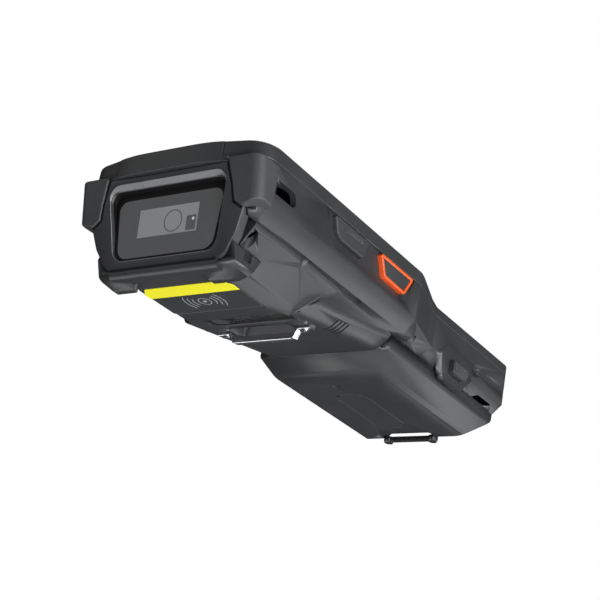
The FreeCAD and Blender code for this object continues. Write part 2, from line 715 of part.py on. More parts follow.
def display_outline(grow, z0, z1):
    half = DISPLAY_HALF + grow
    radius = max(4.0 + grow, 1.0)
    return rounded_box(-half, half, DISPLAY_LOW_Y - grow, DISPLAY_HIGH_Y + grow, z0, z1, radius)


def key_cells():
    return [(column, row) for row in range(KEY_ROWS) for column in range(KEY_COLUMNS)]


def key_centre(column, row):
    x = (column - (KEY_COLUMNS - 1) / 2) * KEY_PITCH_X
    y = KEYPAD_TOP_Y - row * KEY_PITCH_Y
    return x, y


def key_block(x, y, grow, z0, z1):
    half_x = KEY_SIZE_X / 2 + grow
    half_y = KEY_SIZE_Y / 2 + grow
    return rounded_box(x - half_x, x + half_x, y - half_y, y + half_y, z0, z1, 2.4 + grow)


def key_cap(column, row):
    """A keycap with a flange that holds it under the front housing."""
    x, y = key_centre(column, row)
    stem = key_block(x, y, 0.0, HANDLE_TOP_Z - KEY_DEPTH, HANDLE_TOP_Z + KEY_PROUD - 0.6)
    crown = Part.makeLoft([
        rounded_wire(key_corners(x, y, 0.0), "xy", HANDLE_TOP_Z + KEY_PROUD - 0.6),
        rounded_wire(key_corners(x, y, -0.7), "xy", HANDLE_TOP_Z + KEY_PROUD)], True, True)
    flange = key_block(x, y, KEY_FLANGE, HANDLE_TOP_Z - KEY_DEPTH, HANDLE_TOP_Z - KEY_DEPTH + 1.0)
    return join([stem, crown, flange])


def key_corners(x, y, grow):
    half_x = KEY_SIZE_X / 2 + grow
    half_y = KEY_SIZE_Y / 2 + grow
    radius = 2.4 + grow
    return [(x - half_x, y - half_y, radius), (x + half_x, y - half_y, radius),
            (x + half_x, y + half_y, radius), (x - half_x, y + half_y, radius)]


def keypad_mat():
    """A rubber sheet with a dome under each key."""
    low_y = key_centre(0, KEY_ROWS - 1)[1] - 7.0
    dome_low = HANDLE_TOP_Z - DOME_TOP - 1.2
    sheet = rounded_box(-27.0, 27.0, low_y, KEYPAD_TOP_Y + 7.0, dome_low - 1.0, dome_low, 2.0)
    domes = []
    for column, row in key_cells():
        x, y = key_centre(column, row)
        domes.append(Part.makeCone(3.4, 2.4, 1.2, FreeCAD.Vector(x, y, dome_low)))
    return join([sheet] + domes)


def display_glass():
    return display_outline(0.0, TOP_Z - GLASS_THICK, TOP_Z + TRIM_PROUD)


def display_module():
    return display_outline(-4.0, TOP_Z - 4.6, TOP_Z - GLASS_THICK)


def main_board():
    """The circuit board, wide in the head and narrow in the handle, with shield cans."""
    board = join([box(-27.5, 27.5, -6.0, 74.0, 32.0, 33.2), box(-26.0, 26.0, -88.0, -6.0, 32.0, 33.2)])
    cans = [box(-20, 10, 30, 60, 30.2, 32.0), box(-22, -4, 0, 22, 30.4, 32.0)]
    cans.append(box(2, 20, -70, -40, 30.4, 32.0))
    return join([board] + cans)


def housing_gasket():
    """A seal in the joint between the two mouldings, a closed ring inside the wall."""
    outer = slab(plan_corners(WALL, HEAD_WALL), "xy", HANDLE_PARTING_Z - 2.0, PARTING_Z + 1.0)
    inner = slab(plan_corners(WALL + 1.2, HEAD_WALL + 1.2), "xy", HANDLE_PARTING_Z - 3.0, PARTING_Z + 2.0)
    band = side_profile(PARTING_Z + 0.6, HANDLE_PARTING_Z + 0.6, 0.0)
    below = side_profile(PARTING_Z - 0.4, HANDLE_PARTING_Z - 0.4, -1.0)
    return outer.cut(inner).common(band.cut(below)).cut(Part.makeCompound(screw_towers()))


def scan_bezel():
    """The window frame: a thick plate with a leaning face, a funnel in front and a seat behind."""
    plate = slab(bezel_corners(0.0), "xz", BEZEL_BACK_Y, FRONT_Y + 2.0)
    plate = plate.cut(front_wedge(0.0).common(box(-80, 80, 0, 200, -9, BEZEL_TOP_Z)))
    plate = plate.common(slab(plan_corners(-0.1), "xy", -1.0, TOP_Z))
    seat = lean_glass(slab(window_corners(1.0, 3.0), "xz", GLASS_FACE_Y - 14.0, GLASS_FACE_Y + 0.1))
    groove = slab(bezel_corners(-1.8), "xz", 80.0, FRONT_Y + 9.0)
    groove = groove.cut(slab(bezel_corners(-2.3), "xz", 79.0, FRONT_Y + 10.0)).common(front_wedge(0.5))
    plate = plate.cut([seat, window_funnel(), groove, top_panel_room()])
    for side in SIDES.values():
        plate = plate.cut(bumper(side))
    return plate


def scan_window():
    """A flat pane that closes the frame's opening."""
    return lean_glass(slab(window_corners(0.9, 2.9), "xz", GLASS_FACE_Y - GLASS_PANE, GLASS_FACE_Y))


def scan_engine():
    """The imager: a block with a lens barrel and an aiming lamp."""
    block = box(-13.0, 13.0, 76.0, 89.0, 13.0, 29.0)
    barrel_room = cylinder(4.6, 5.0, (3.0, 85.0, 21.0), (0, 1, 0))
    lamp_room = cylinder(2.0, 3.0, (-8.0, 87.0, 21.0), (0, 1, 0))
    return block.cut([barrel_room, lamp_room])


def scan_lens():
    barrel = cylinder(4.4, 4.6, (3.0, 85.0, 21.0), (0, 1, 0))
    lamp = cylinder(1.9, 2.6, (-8.0, 87.0, 21.0), (0, 1, 0))
    return Part.makeCompound([barrel, lamp])


def antenna_cover():
    return antenna_panel(ANTENNA_Z, ANTENNA_Z + 0.9)


def label_strip():
    """The strip between the two foot lumps on the antenna cover."""
    corners = [(-16.0, 79.4, 0.6), (16.0, 79.4, 0.6), (19.6, 72.2, 0.3), (-19.6, 72.2, 0.3)]
    return slab(corners, "xy", ANTENNA_Z - 0.2, ANTENNA_Z)


def lanyard_posts():
    posts = [cylinder(1.3, 5.4, (side * (HEAD_HALF - 2.6), 86.2, 29.2), (0, 0, 1)) for side in SIDES.values()]
    return Part.makeCompound(posts)


def function_key(side):
    cap = offset_slab(FUNCTION_KEY_OUTLINE, 0, SIDE_KEY_BACK_X, HEAD_HALF + SIDE_KEY_PROUD)
    dent = slab([(44.8, 35.6, 0.5), (44.8, 36.8, 0.5), (33.8, 37.2, 0.5), (33.8, 36.0, 0.5)], "yz",
                HEAD_HALF + SIDE_KEY_PROUD - 0.5, HEAD_HALF + 2.0)
    return on_side(cap.cut(dent), side)


def scan_key_ring(side):
    ring = offset_slab(SCAN_KEY_OUTLINE, 0, SIDE_KEY_BACK_X, HEAD_HALF + SIDE_KEY_PROUD + 0.2)
    room = offset_slab(SCAN_KEY_OUTLINE, -1.1, HEAD_HALF - 6.0, HEAD_HALF + 3.0)
    return on_side(ring.cut(room), side)


def scan_key(side):
    return on_side(offset_slab(SCAN_KEY_OUTLINE, -1.1, SIDE_KEY_BACK_X, HEAD_HALF + SIDE_KEY_PROUD), side)


def pack_block(inset):
    """The battery pack: a rounded section cut to the profile of its two ends."""
    half = PACK_HALF - inset
    low = PACK_BACK_Z + inset
    top = PACK_TOP_Z - inset
    section = [
        (half, top, 0),
        (half, PACK_SEAM_Z + 0.6, 2.5),
        (PACK_FLAT_HALF + 1.6 - inset * 0.6, low, 9.0),
        (-PACK_FLAT_HALF - 1.6 + inset * 0.6, low, 9.0),
        (-half, PACK_SEAM_Z + 0.6, 2.5),
        (-half, top, 0),
    ]
    bar = slab(section, "xz", PACK_END_Y, PACK_FRONT_Y)
    front = PACK_FRONT_Y - inset
    end = PACK_END_Y + inset
    profile = [
        (front, top, 0),
        (front, PACK_SEAM_Z + 0.4, 1.2),
        (front - 5.6, low, 6.5),
        (PACK_END_Y + 12.0, low, 6.0),
        (end, PACK_TOP_Z - 3.0, 3.0),
        (end, top, 0),
    ]
    return bar.common(slab(profile, "yz", -HEAD_HALF, HEAD_HALF))


CONTACT_PLACES = (-7.0, -2.4, 2.4, 7.0)
STRAP_BAR_Y = -79.6
STRAP_SLOT_HALF = 12.8
HINGE_Y = PACK_FRONT_Y + GAP / 2
HINGE_Z = 14.4
HINGE_LUG_R = 0.6
HINGE_LUG_X = 22.0
HINGE_LUG_LENGTH = 5.0


def hinge_lugs():
    """Two round lugs on the pack's front edge that it swings about."""
    lugs = []
    for x0 in (-HINGE_LUG_X - HINGE_LUG_LENGTH, HINGE_LUG_X):
        lugs.append(cylinder(HINGE_LUG_R, HINGE_LUG_LENGTH, (x0, HINGE_Y, HINGE_Z), (1, 0, 0)))
        lugs.append(box(x0, x0 + HINGE_LUG_LENGTH, PACK_FRONT_Y - 1.9, HINGE_Y, HINGE_Z - HINGE_LUG_R,
                        HINGE_Z + HINGE_LUG_R))
    return lugs


def hinge_rooms():
    """The two round-bottomed slots in the scoop's end that hold the lugs."""
    rooms = []
    for x0 in (-HINGE_LUG_X - HINGE_LUG_LENGTH - GAP, HINGE_LUG_X - GAP):
        rooms.append(cylinder(HINGE_LUG_R + 0.1, HINGE_LUG_LENGTH + 2 * GAP, (x0, HINGE_Y, HINGE_Z), (1, 0, 0)))
    return Part.makeCompound(rooms)


def battery_shell():
    """The pack's shell, hollow, with the strap recess, the tongue notches and the shallow inset."""
    shell = pack_block(0.0).cut(pack_block(PACK_WALL)).fuse(hinge_lugs())
    recess_wall = box(-STRAP_SLOT_HALF - 1.6, STRAP_SLOT_HALF + 1.6, STRAP_BAR_Y - 7.5, STRAP_BAR_Y + 6.2,
                      PACK_BACK_Z + 1.0, PACK_BACK_Z + 9.6)
    shell = shell.fuse(recess_wall.common(pack_block(0.0)))
    recess = rounded_box(-STRAP_SLOT_HALF, STRAP_SLOT_HALF, STRAP_BAR_Y - 9.0, STRAP_BAR_Y + 4.6,
                         PACK_BACK_Z - 5.0, PACK_BACK_Z + 8.0, 1.0)
    cuts = [recess]
    inset = [(-7.2, -29.0, 5.5), (7.2, -29.0, 5.5), (7.2, -68.0, 5.5), (-7.2, -68.0, 5.5)]
    groove = slab(inset, "xy", PACK_BACK_Z - 1.0, PACK_BACK_Z + 0.3)
    island = [(-6.8, -29.4, 5.1), (6.8, -29.4, 5.1), (6.8, -67.6, 5.1), (-6.8, -67.6, 5.1)]
    cuts.append(groove.cut(slab(island, "xy", PACK_BACK_Z - 2.0, PACK_BACK_Z + 2.0)))
    arrow = [(-2.6, -20.0, 0.2), (2.6, -20.0, 0.2), (0.0, -23.0, 0.2)]
    cuts.append(slab(arrow, "xy", PACK_BACK_Z - 1.0, PACK_BACK_Z + 0.5))
    shell = shell.cut(cuts)
    for side in SIDES.values():
        wall = on_side(box(24.6, PACK_HALF - 0.1, -60.6, -48.4, PACK_TOP_Z - 4.6, PACK_TOP_Z), side)
        room = on_side(box(26.4, PACK_HALF + 1.0, -59.0, -50.0, PACK_TOP_Z - 2.8, PACK_TOP_Z + 1.0), side)
        tab = on_side(box(PACK_HALF - 2.4, PACK_HALF, -84.0, -74.4, PACK_TOP_Z - 3.0, PACK_TOP_Z), side)
        shell = shell.fuse([wall, tab]).cut(room)
    back_y = PACK_FRONT_Y - 12.0
    contact_room = box(-9.5, 9.5, back_y, back_y + 6.0, PACK_TOP_Z - 0.5, PACK_TOP_Z + 1.0)
    return shell.cut(contact_room).removeSplitter()


def strap_bar():
    """The metal bar across the pack's strap recess, with a round boss at each end."""
    bar = rounded_box(-STRAP_SLOT_HALF, STRAP_SLOT_HALF, STRAP_BAR_Y - 3.4, STRAP_BAR_Y - 0.8,
                      PACK_BACK_Z - 1.0, PACK_BACK_Z + 0.8, 0.3)
    boss_x = STRAP_SLOT_HALF - 1.9
    bosses = [cylinder(1.9, 2.6, (side * boss_x, STRAP_BAR_Y - 2.1, PACK_BACK_Z - 1.6), (0, 0, 1))
              for side in SIDES.values()]
    return join([bar] + bosses)


def battery_cells():
    return rounded_box(-22.0, 22.0, -68.0, -19.0, PACK_BACK_Z + 2.9, PACK_TOP_Z - 5.2, 1.0)


def battery_pads():
    back_y = PACK_FRONT_Y - 11.2
    pads = [rounded_box(x - 1.6, x + 1.6, back_y, back_y + 4.4, PACK_TOP_Z - 0.5, PACK_TOP_Z - 0.1, 0.3)
            for x in CONTACT_PLACES]
    return Part.makeCompound(pads)


def battery_contacts():
    """Four contacts let into the floor over the pack's pads."""
    pins = [box(x - 0.7, x + 0.7, PACK_FRONT_Y - 9.8, PACK_FRONT_Y - 8.2, FLANGE_Z - 0.4, FLANGE_Z + 5.0)
            for x in CONTACT_PLACES]
    carrier = box(-9.0, 9.0, PACK_FRONT_Y - 11.0, PACK_FRONT_Y - 7.0, CAVITY_Z, CAVITY_Z + 2.0)
    return join([carrier] + pins)


def contact_slots():
    return [box(x - 0.7, x + 0.7, PACK_FRONT_Y - 9.8, PACK_FRONT_Y - 8.2, FLANGE_Z - 1.0, CAVITY_Z + 1.0)
            for x in CONTACT_PLACES]


DOCK_PAD_PLACES = [side * (14.0 + i * 4.0) for side in (LEFT, RIGHT) for i in range(3)]


def dock_contacts():
    """Two rows of charging pads in the bottom end, beside the flap."""
    pads = [cylinder(1.1, 2.0, (x, END_Y - 0.1, 30.0), (0, 1, 0)) for x in DOCK_PAD_PLACES]
    return Part.makeCompound(pads)


def dock_bores():
    return [cylinder(1.1, 3.2, (x, END_Y - 1.0, 30.0), (0, 1, 0)) for x in DOCK_PAD_PLACES]


def all_nodes():
    nodes = {
        "rear_housing": rear_housing().cut(contact_slots() + dock_bores()),
        "front_housing": front_housing(),
        "front_top_panel": front_top_panel(),
        "scan_bezel": scan_bezel(),
        "scan_window": scan_window(),
        "scan_engine": scan_engine(),
        "scan_lens": scan_lens(),
        "antenna_cover": antenna_cover(),
        "label_strip": label_strip(),
        "camera_plate": camera_plate(),
        "camera_lens": camera_lens(),
        "camera_module": camera_module(),
        "strap_bracket": strap_bracket(),
        "strap_screws": strap_screws(),
        "speaker": speaker(),
        "housing_screws": housing_screws(),
        "housing_gasket": housing_gasket(),
        "lanyard_posts": lanyard_posts(),
        "display_glass": display_glass(),
        "display_module": display_module(),
        "main_board": main_board(),
        "keypad_mat": keypad_mat(),
        "usb_socket": usb_socket(),
        "port_cover": port_cover(),
        "dock_contacts": dock_contacts(),
        "battery_contacts": battery_contacts(),
        "battery_shell": battery_shell(),
        "battery_cells": battery_cells(),
        "battery_pads": battery_pads(),
        "strap_bar": strap_bar(),
    }
    for name, side in SIDES.items():
        nodes["corner_bumper_" + name] = bumper(side)
        nodes["function_key_" + name] = function_key(side)
        nodes["scan_key_" + name] = scan_key(side)
        nodes["scan_key_ring_" + name] = scan_key_ring(side)
        nodes["release_button_" + name] = release_button(side)
    for column, row in key_cells():
        nodes["key_%d_%d" % (row + 1, column + 1)] = key_cap(column, row)
    return nodes


def main():
    os.makedirs("parts", exist_ok=True)
    nodes = all_nodes()
    whole = FreeCAD.BoundBox()
    for name, shape in nodes.items():
        shape.exportStep("parts/" + name + ".step")
        whole.add(shape.BoundBox)
        note = "" if shape.isValid() else "  NOT VALID"
        print("%-22s solids %d  volume %9.1f mm3%s" % (name, len(shape.Solids), shape.Volume, note))
    print("nodes %d, whole %.1f x %.1f x %.1f, lowest %.2f" % (
        len(nodes), whole.XLength, whole.YLength, whole.ZLength, whole.ZMin))


main()
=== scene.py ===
# %% [markdown]
# # Portable barcode data terminal
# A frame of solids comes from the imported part. This script dresses it: softened copies of the mouldings,
# new surfaces for ribs, prints and optics, a procedural material for every piece, and a small white studio.
# Blender works in metres. Sizes of pieces are given here in millimetres, in the frame of the part: X across,
# Y towards the scan end and Z towards the display. `MM` turns them into metres.

# %% Load the frame
import json
import math
import bmesh
import bpy
import numpy as np
from mathutils import Matrix, Vector
from mathutils.bvhtree import BVHTree


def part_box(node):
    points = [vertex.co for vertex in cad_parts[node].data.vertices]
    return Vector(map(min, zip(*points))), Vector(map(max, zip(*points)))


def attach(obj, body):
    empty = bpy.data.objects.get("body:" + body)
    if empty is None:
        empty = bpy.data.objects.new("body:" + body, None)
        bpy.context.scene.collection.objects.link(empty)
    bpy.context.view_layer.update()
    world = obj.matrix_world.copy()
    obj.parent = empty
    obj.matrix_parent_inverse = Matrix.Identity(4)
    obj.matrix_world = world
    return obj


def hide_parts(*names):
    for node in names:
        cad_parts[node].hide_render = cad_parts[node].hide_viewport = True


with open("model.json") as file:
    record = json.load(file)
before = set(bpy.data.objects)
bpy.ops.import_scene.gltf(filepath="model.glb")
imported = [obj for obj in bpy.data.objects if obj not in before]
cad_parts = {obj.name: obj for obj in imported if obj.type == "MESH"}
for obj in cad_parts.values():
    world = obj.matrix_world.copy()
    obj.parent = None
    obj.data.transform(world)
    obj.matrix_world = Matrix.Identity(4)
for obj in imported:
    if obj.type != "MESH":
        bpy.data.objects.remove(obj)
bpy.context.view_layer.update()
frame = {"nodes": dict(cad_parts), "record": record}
MM = 0.001
SIDES = {"left": -1, "right": 1}

# %% [markdown]
# The helpers below hide the repeated steps of making meshes from whole numpy arrays. `soften` rounds the
# edges of a copy of a solid. A copy fits when hardly a point of it strays from the solid's skin by more than
# its rounding, and `soften` tries smaller roundings until one fits.

# %% Mesh helpers
SHARED_POINT = 0.002 * MM
SAME_POINT = 0.0001 * MM
FLAT_ANGLE = math.radians(0.5)
SHARP_ANGLE = math.radians(28)
SHADE_ANGLE = math.radians(35)
WIDTH_SHARES = (1.0, 0.7, 0.45)
STRAY_SHARE = 1.2
STRAYS_ALLOWED = 2


def body_of(name):
    """The body that a node rides on."""
    return next(b for b, names in frame["record"]["behaviour"]["bodies"].items() if name in names)


def finish_piece(obj, body, slot, material):
    """Gives a new piece its material and its body. Its slot is not used."""
    obj.data.materials.clear()
    obj.data.materials.append(material)
    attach(obj, body)
    return obj


def mesh_object(name, points, faces, smooth=True):
    """A mesh object from an (n, 3) array of points and a list of faces."""
    mesh = bpy.data.meshes.new(name)
    mesh.from_pydata(np.asarray(points, float).tolist(), [], [list(map(int, f)) for f in faces])
    mesh.update()
    mesh.polygons.foreach_set("use_smooth", [smooth] * len(mesh.polygons))
    obj = bpy.data.objects.new(name, mesh)
    bpy.context.scene.collection.objects.link(obj)
    return obj


def grid_faces(rows, columns):
    """Quads between neighbours of a rows x columns grid of points. The last column joins the first."""
    r, c = (a.ravel() for a in np.meshgrid(np.arange(rows - 1), np.arange(columns), indexing="ij"))
    c1 = (c + 1) % columns
    return np.stack([r * columns + c, r * columns + c1, (r + 1) * columns + c1, (r + 1) * columns + c], 1)


def solid_of(name):
    """An editable copy of a solid's mesh, with the points merged that its triangles share."""
    bm = bmesh.new()
    bm.from_mesh(frame["nodes"][name].data)
    bmesh.ops.remove_doubles(bm, verts=bm.verts, dist=SHARED_POINT)
    return bm


def strays(bm, skin, limit):
    """How many corners and triangle centres of a mesh lie further than limit from a skin."""
    probe = bm.copy()
    bmesh.ops.triangulate(probe, faces=probe.faces)
    spots = [v.co for v in probe.verts] + [f.calc_center_median() for f in probe.faces]
    far = sum(skin.find_nearest(spot)[3] > limit for spot in spots)
    probe.free()
    return far


def bevelled(source, width):
    """A copy of a mesh with its coplanar triangles joined and its sharp edges rounded by width."""
    bm = source.copy()
    bmesh.ops.dissolve_limit(bm, angle_limit=FLAT_ANGLE, verts=bm.verts, edges=bm.edges)
    inner = [e for e in bm.edges if len(e.link_faces) == 2]
    sharp = [e for e in inner if e.calc_face_angle(0) > SHARP_ANGLE]
    bmesh.ops.bevel(bm, geom=sharp, offset=width, segments=2, profile=0.5, affect="EDGES",
                    clamp_overlap=False)
    return bm


def soften(name, width, slot, material):
    """A copy of a node with rounded edges, by the largest share of width that keeps its form, or by none."""
    source = solid_of(name)
    skin = BVHTree.FromBMesh(source)
    for share in WIDTH_SHARES:
        bm = bevelled(source, width * share)
        if strays(bm, skin, width * share * STRAY_SHARE) <= STRAYS_ALLOWED:
            break
        bm.free()
    else:
        share = 0.0
        bm = source.copy()
    mesh = bpy.data.meshes.new(name + "_skin")
    bm.to_mesh(mesh)
    bm.free()
    source.free()
    mesh.shade_smooth()
    mesh.set_sharp_from_angle(angle=SHADE_ANGLE)
    obj = bpy.data.objects.new(name + "_skin", mesh)
    bpy.context.scene.collection.objects.link(obj)
    shading = obj.modifiers.new("flat_between_edges", "WEIGHTED_NORMAL")
    shading.keep_sharp = True
    shading.weight = 100
    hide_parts(name)
    print(obj.name, "edges rounded by %.2f mm" % (width * share / MM), len(mesh.polygons), "faces")
    return finish_piece(obj, body_of(name), slot, material)


print("mesh helpers ready")

# %% [markdown]
# Materials come next. One function turns a web colour into Blender's linear numbers, one adds a node.
# A pattern's size is given in millimetres: a Noise texture of scale 1000 / s has spots about s mm wide.

# %% Material helpers


def colour(web):
    """A linear colour with alpha 1 from an sRGB web colour."""
    srgb = np.array([int(web[i:i + 2], 16) for i in (1, 3, 5)]) / 255
    linear = np.where(srgb <= 0.04045, srgb / 12.92, ((srgb + 0.055) / 1.055) ** 2.4)
    return (*linear.tolist(), 1.0)


def add(tree, kind, links=None, **values):
    """Adds a node. values are socket or property settings, links are {input: output socket}."""
    made = tree.nodes.new("ShaderNode" + kind)
    for key, value in values.items():
        label = key.replace("_", " ")
        if label in made.inputs:
            made.inputs[label].default_value = value
        else:
            setattr(made, key, value)
    for key, source in (links or {}).items():
        tree.links.new(source, made.inputs[key])
    return made


def ramp(tree, source, stops):
    """A colour ramp on a source, with stops as (place, colour)."""
    made = add(tree, "ValToRGB", {"Fac": source})
    elements = made.color_ramp.elements
    while len(elements) < len(stops):
        elements.new(0.5)
    for element, (place, shade) in zip(elements, stops):
        element.position = place
        element.color = shade
    return made.outputs["Color"]


def shade(web, factor):
    """The web colour made darker or lighter by a factor on its linear numbers."""
    r, g, b, _ = colour(web)
    return (min(r * factor, 1), min(g * factor, 1), min(b * factor, 1), 1.0)


def surface(name, web, roughness=0.5, spread=0.25, grain_mm=0.5, bump=0.12, depth_mm=0.02, patch_mm=18.0,
            metallic=0.0, coat=0.0, specular=0.5, rough_swing=0.12):
    """A material whose colour drifts over patch_mm, with a fine relief of grain_mm and a varied gloss."""
    material = bpy.data.materials.new(name)
    material.use_nodes = True
    tree = material.node_tree
    tree.nodes.clear()
    where = add(tree, "TexCoord").outputs["Object"]
    patch = add(tree, "TexNoise", {"Vector": where}, Scale=1 / (patch_mm * MM), Detail=4.0).outputs["Fac"]
    speck = add(tree, "TexNoise", {"Vector": where}, Scale=1 / (grain_mm * MM), Detail=3.0).outputs["Fac"]
    mixed = add(tree, "Math", {0: patch, 1: speck}, operation="MULTIPLY").outputs[0]
    base = ramp(tree, mixed, [(0.12, shade(web, 1 - spread)), (0.42, shade(web, 1 + spread))])
    gloss = add(tree, "MapRange", {"Value": patch}, To_Min=max(roughness - rough_swing, 0.02),
                To_Max=min(roughness + rough_swing, 1.0)).outputs["Result"]
    pits = add(tree, "TexVoronoi", {"Vector": where}, Scale=1 / (grain_mm * MM)).outputs["Distance"]
    relief = add(tree, "Math", {0: pits, 1: speck}, operation="ADD").outputs[0]
    raised = add(tree, "Bump", {"Height": relief}, Strength=bump, Distance=depth_mm * MM).outputs["Normal"]
    shader = add(tree, "BsdfPrincipled", {"Base Color": base, "Roughness": gloss, "Normal": raised},
                 Metallic=metallic, Coat_Weight=coat, Specular_IOR_Level=specular)
    add(tree, "OutputMaterial", {"Surface": shader.outputs["BSDF"]})
    return material


print("material helpers ready")

# %% [markdown]
# The terminal's real materials: glass-filled plastic from spark-eroded tools, rubber, plated steel and film.
# Two more colours are painted light: a near-black painted shade and a grey painted highlight.
# The first five numbers of each are roughness, spread of the colour, and the grain, strength and depth of
# its relief.

# %% Materials
SHELL = surface("spark_textured_plastic", "#303133", 0.4, 0.14, 0.45, 0.2, 0.03, specular=0.55)
PANEL = surface("fine_matt_plastic_panel", "#313234", 0.5, 0.14, 0.3, 0.15, 0.02)
RUBBER = surface("moulded_black_rubber", "#3c3d3f", 0.55, 0.2, 0.6, 0.15, 0.02)
KEY_RUBBER = surface("satin_silicone_key", "#353638", 0.5, 0.15, 0.35, 0.1, 0.02)
ORANGE = surface("orange_moulded_ring", "#e2571f", 0.32, 0.1, 0.4, 0.05, 0.01, specular=0.6)
BUTTON = surface("ribbed_button_plastic", "#2f3032", 0.5, 0.2, 0.35, 0.12, 0.02)
YELLOW = surface("printed_yellow_film", "#f4ee2a", 0.38, 0.05, 0.25, 0.04, 0.005, coat=0.15)
GLOSS = surface("polished_black_plastic", "#0a0a0b", 0.2, 0.3, 0.6, 0.02, 0.005, specular=0.25,
                rough_swing=0.03)
CHROME = surface("nickel_plated_steel", "#d9dadc", 0.14, 0.06, 1.5, 0.03, 0.01, metallic=1.0,
                 rough_swing=0.05)
DARK_STEEL = surface("black_oxide_steel", "#55565a", 0.34, 0.25, 0.4, 0.08, 0.01, metallic=0.9)
GOLD = surface("gold_plated_contact", "#cfa552", 0.22, 0.1, 0.4, 0.04, 0.005, metallic=1.0)
FOIL = surface("aluminium_cell_foil", "#b9bbbf", 0.3, 0.12, 2.0, 0.1, 0.02, metallic=1.0)
BOARD = surface("lacquered_circuit_board", "#1f4d33", 0.35, 0.3, 0.8, 0.1, 0.02, coat=0.3)
ENGINE = surface("black_engine_plastic", "#242527", 0.5, 0.2, 0.4, 0.1, 0.02)
WINDOW = surface("smoked_acrylic_pane", "#454648", 0.12, 0.1, 0.6, 0.01, 0.002, patch_mm=30, coat=0.4,
                 rough_swing=0.03)
CLEAR = surface("clear_optical_area", "#8e8f91", 0.14, 0.08, 0.6, 0.01, 0.002, patch_mm=25, coat=0.3,
                rough_swing=0.03)
LENS = surface("coated_lens_glass", "#3d4045", 0.2, 0.2, 0.7, 0.01, 0.002, coat=0.4, rough_swing=0.02)
PRINT = surface("grey_printed_ink", "#9a9b9c", 0.5, 0.1, 0.2, 0.05, 0.003)
KEYCAP = surface("satin_keycap_plastic", "#2b2c2f", 0.42, 0.15, 0.3, 0.08, 0.01)
ORANGE_KEY = surface("orange_keycap_plastic", "#d9601f", 0.4, 0.1, 0.3, 0.06, 0.01)
LEGEND = surface("white_printed_legend", "#e8e8e4", 0.5, 0.05, 0.2, 0.05, 0.002)
# Near-black painted shade: laid over the recess wall round the pane and along the channels beside the
# bumpers.
PAINTED_SHADE = surface("painted_shade_black", "#0b0b0c", 0.7, 0.2, 0.4, 0.15, 0.02, specular=0.2)
# A grey band of painted highlight on the frame's bevel, which is the same moulded plastic as the shell.
PAINTED_HIGHLIGHT = surface("painted_highlight_frame_bevel", "#7c7d7f", 0.3, 0.08, 0.4, 0.05, 0.01)
SHADED = surface("shaded_clear_acrylic", "#55565a", 0.25, 0.08, 0.3, 0.05, 0.01)
SLOT_MATERIALS = {
    "moulded_shell": SHELL, "textured_black": PANEL, "smoked_window": WINDOW, "engine_black": ENGINE,
    "coated_lens": LENS, "yellow_film": YELLOW, "gloss_black": GLOSS, "bright_steel": CHROME,
    "dark_steel": DARK_STEEL, "black_rubber": RUBBER, "circuit_board": BOARD, "gold_contact": GOLD,
    "cell_foil": FOIL, "side_key_rubber": KEY_RUBBER, "orange_ring": ORANGE, "button_black": BUTTON,
    "keycap": KEYCAP, "orange_key": ORANGE_KEY,
}
SLOT_OF = {row["node"]: row["material_slot"] for row in frame["record"]["subparts"]}
for name, obj in frame["nodes"].items():
    obj.data.materials.clear()
    obj.data.materials.append(SLOT_MATERIALS[SLOT_OF[name]])
print("materials", len(bpy.data.materials))

# %% [markdown]
# A tessellated solid has razor edges, and a real moulding has none. Each visible moulding is replaced by a
# copy whose edges are rounded, so that light runs along them.

# %% Softened mouldings
EDGE_WIDTHS = {
    "rear_housing": 0.35, "front_housing": 0.45, "front_top_panel": 0.25,
    "antenna_cover": 0.2, "battery_shell": 0.4, "corner_bumper_left": 0.6,
    "corner_bumper_right": 0.6, "function_key_left": 0.45, "function_key_right": 0.45,
    "scan_key_left": 0.35, "scan_key_right": 0.35, "scan_key_ring_left": 0.3, "scan_key_ring_right": 0.3,
    "release_button_left": 0.35, "release_button_right": 0.35, "port_cover": 0.3, "strap_bar": 0.25,
}
for name, width in EDGE_WIDTHS.items():  # widths in millimetres
    soften(name, width * MM, SLOT_OF[name], SLOT_MATERIALS[SLOT_OF[name]])

# %% [markdown]
# The window frame is one skin of rings: outside, rounded rim, face, bevel and wall. Every ring is an outline
# read along the same rays from the window's middle, so each ring joins the next by quads. The sheet of
# painted shade in the recess and the band of painted highlight on the bevel end on their first ring, which
# closes them.

# %% Window frame
PARALLEL = 1e-12
EDGE_SLACK = 1e-6
FAR_AWAY = 1e9


def corner_arc(before, corner, after, radius, steps):
    """Points of the arc that replaces a corner. Its centre lies on the corner's bisector at
    radius / sin(half angle), and its ends lie radius / tan(half angle) from the corner."""
    back = (before - corner) / np.linalg.norm(before - corner)
    ahead = (after - corner) / np.linalg.norm(after - corner)
    half = math.acos(float(np.clip(back @ ahead, -1, 1))) / 2
    centre = corner + (back + ahead) / np.linalg.norm(back + ahead) * radius / math.sin(half)
    first = corner + back * radius / math.tan(half) - centre
    last = corner + ahead * radius / math.tan(half) - centre
    t = np.linspace(0, 1, steps)[:, None]
    arc = first * (1 - t) + last * t
    return centre + arc / np.linalg.norm(arc, axis=1)[:, None] * radius


def rounded_outline(corners, steps=8):
    """Points of a closed polygon (x, z, radius) with each corner replaced by an arc of its radius."""
    spots = np.array([c[:2] for c in corners], float)
    last = len(corners) - 1
    arcs = [corner_arc(spots[i - 1], spots[i], spots[i + 1 if i < last else 0], corners[i][2], steps)
            for i in range(len(corners))]
    return np.vstack(arcs)


